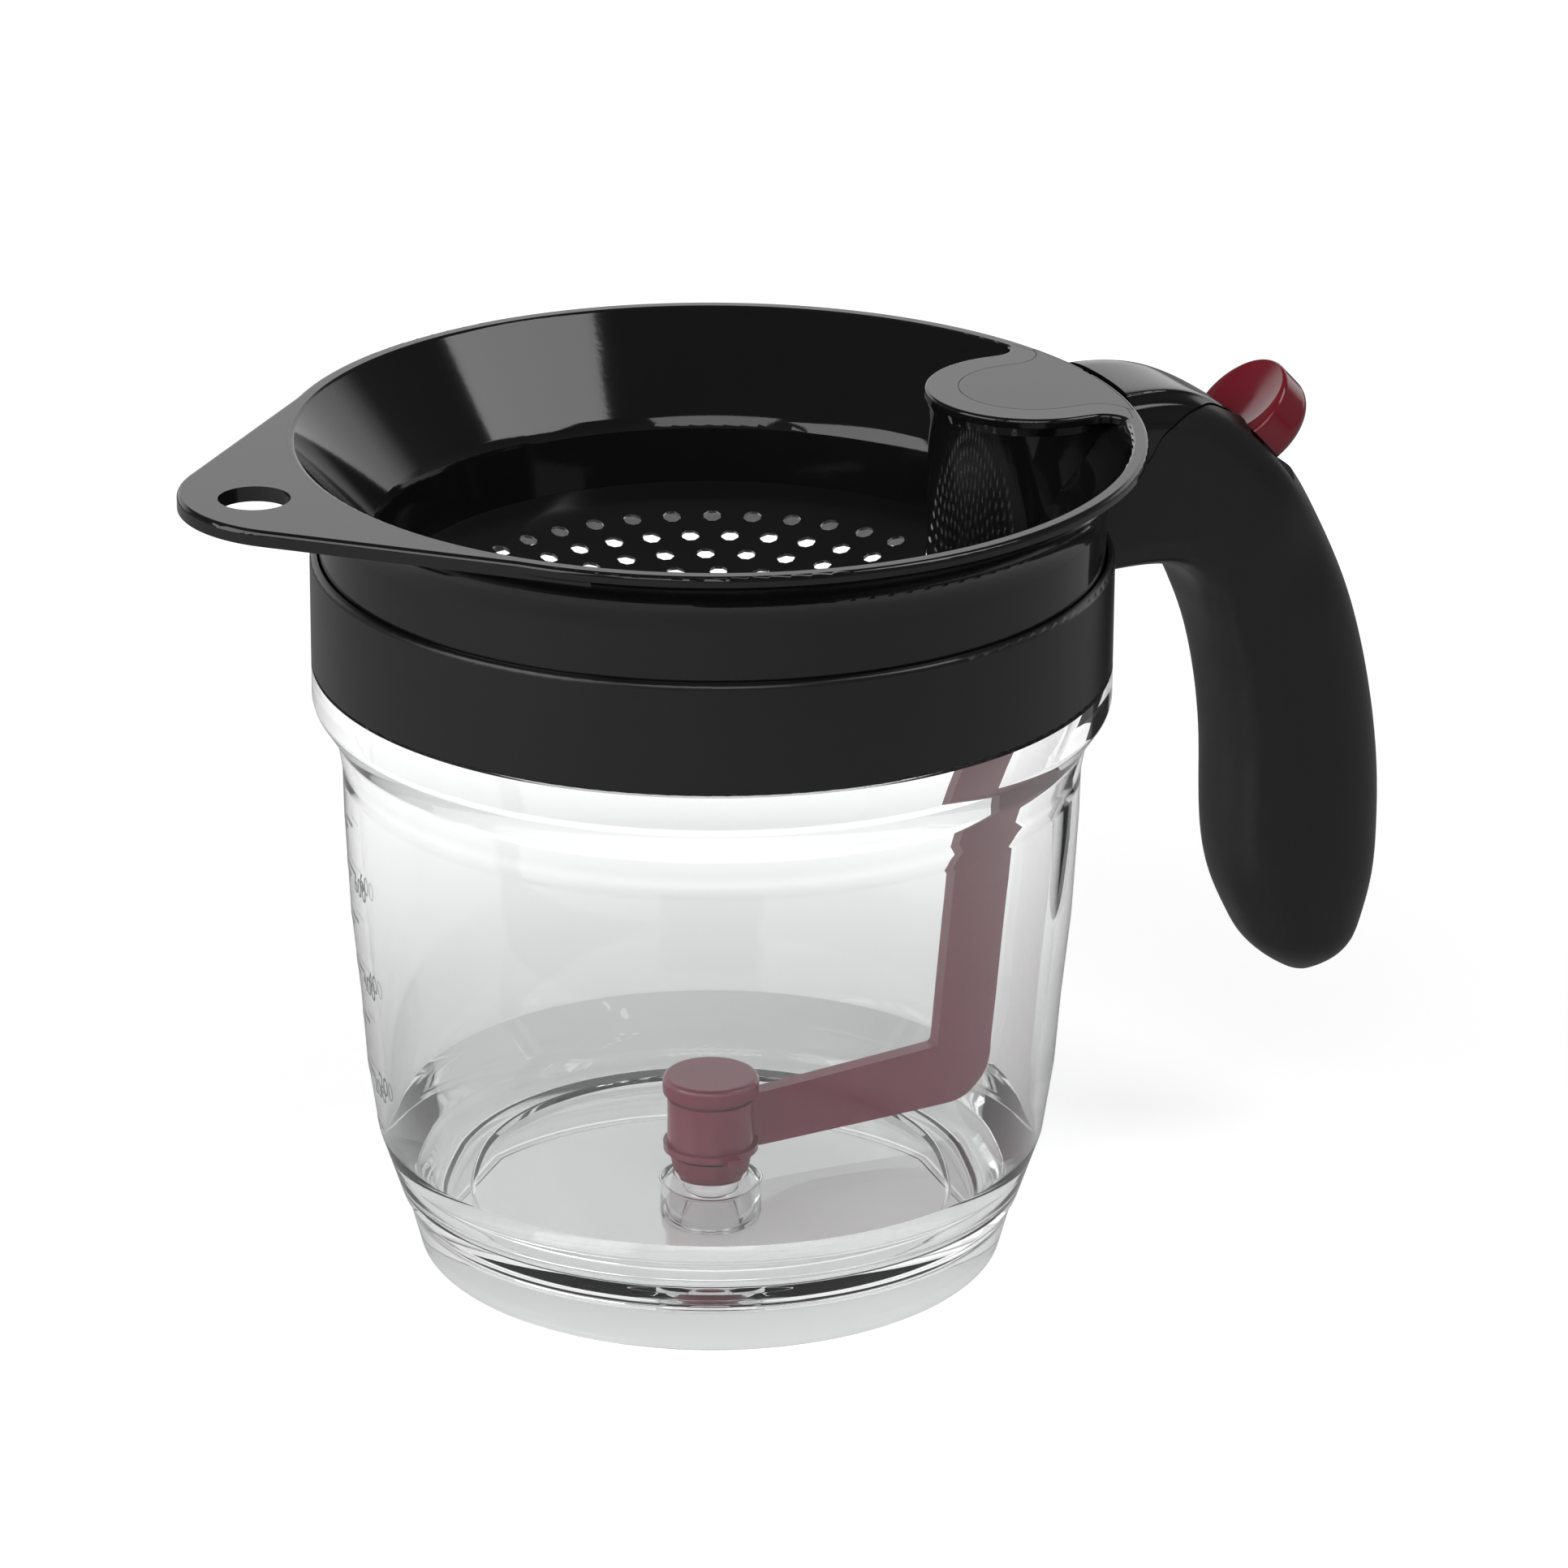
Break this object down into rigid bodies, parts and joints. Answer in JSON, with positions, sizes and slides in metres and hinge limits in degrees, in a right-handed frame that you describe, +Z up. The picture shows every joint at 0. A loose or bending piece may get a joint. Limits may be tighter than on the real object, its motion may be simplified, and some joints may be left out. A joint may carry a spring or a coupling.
{
  "type": "gravy fat separator",
  "caption": "Clear gravy fat separator with a thumb trigger that lifts a drain plug, and a black strainer lid that lifts off.",
  "frame": {"origin": "on the vessel's axis, in the plane of its foot", "axes": "+Z up along the vessel's axis, +X towards the handle, -X towards the lid's lifting tab"},
  "size_m": [0.2237, 0.1464, 0.1467],
  "materials": {
    "clear_plastic": "clear polished",
    "black_gloss": "satin gloss",
    "soft_grip": "matt soft touch",
    "red_plastic": "gloss",
    "steel": "satin",
    "seal_rubber": "matt"
  },
  "bodies": {
    "base": {"vessel": "clear_plastic", "collar": "black_gloss", "handle_core": "black_gloss", "grip": "soft_grip", "head_cover": "black_gloss", "arm_guide": "black_gloss", "trigger_pin": "steel", "trigger_spring": "steel"},
    "lid": {"strainer_lid": "black_gloss", "lid_tower": "black_gloss", "lid_tab": "black_gloss", "strainer_plate": "black_gloss", "hood": "black_gloss", "hood_inlay": "black_gloss"},
    "trigger": {"trigger": "red_plastic"},
    "lift": {"lift_arm": "red_plastic", "cross_pin": "steel", "plug_body": "red_plastic", "plug_cap": "red_plastic", "plug_seal": "seal_rubber"}
  },
  "joints": [
    {"name": "trigger_pivot", "type": "hinge", "parent": "base", "child": "trigger", "pos_m": [0.088, 0, 0.132], "axis": [0, 1, 0], "range_deg": [0, 15], "stiffness_Nm_per_rad": 0.06, "springref_deg": -14.32, "deforming": ["trigger_spring"]},
    {"name": "plug_lift", "type": "slide", "parent": "base", "child": "lift", "axis": [0, 0, 1], "range_m": [0, 0.0079]},
    {"name": "lid_off", "type": "slide", "parent": "base", "child": "lid", "axis": [0, 0, 1], "range_m": [0, 0.06]}
  ],
  "couplings": [
    {"joint": "trigger_pivot", "follows": "plug_lift", "rad_per_m": 33.13}
  ]
}
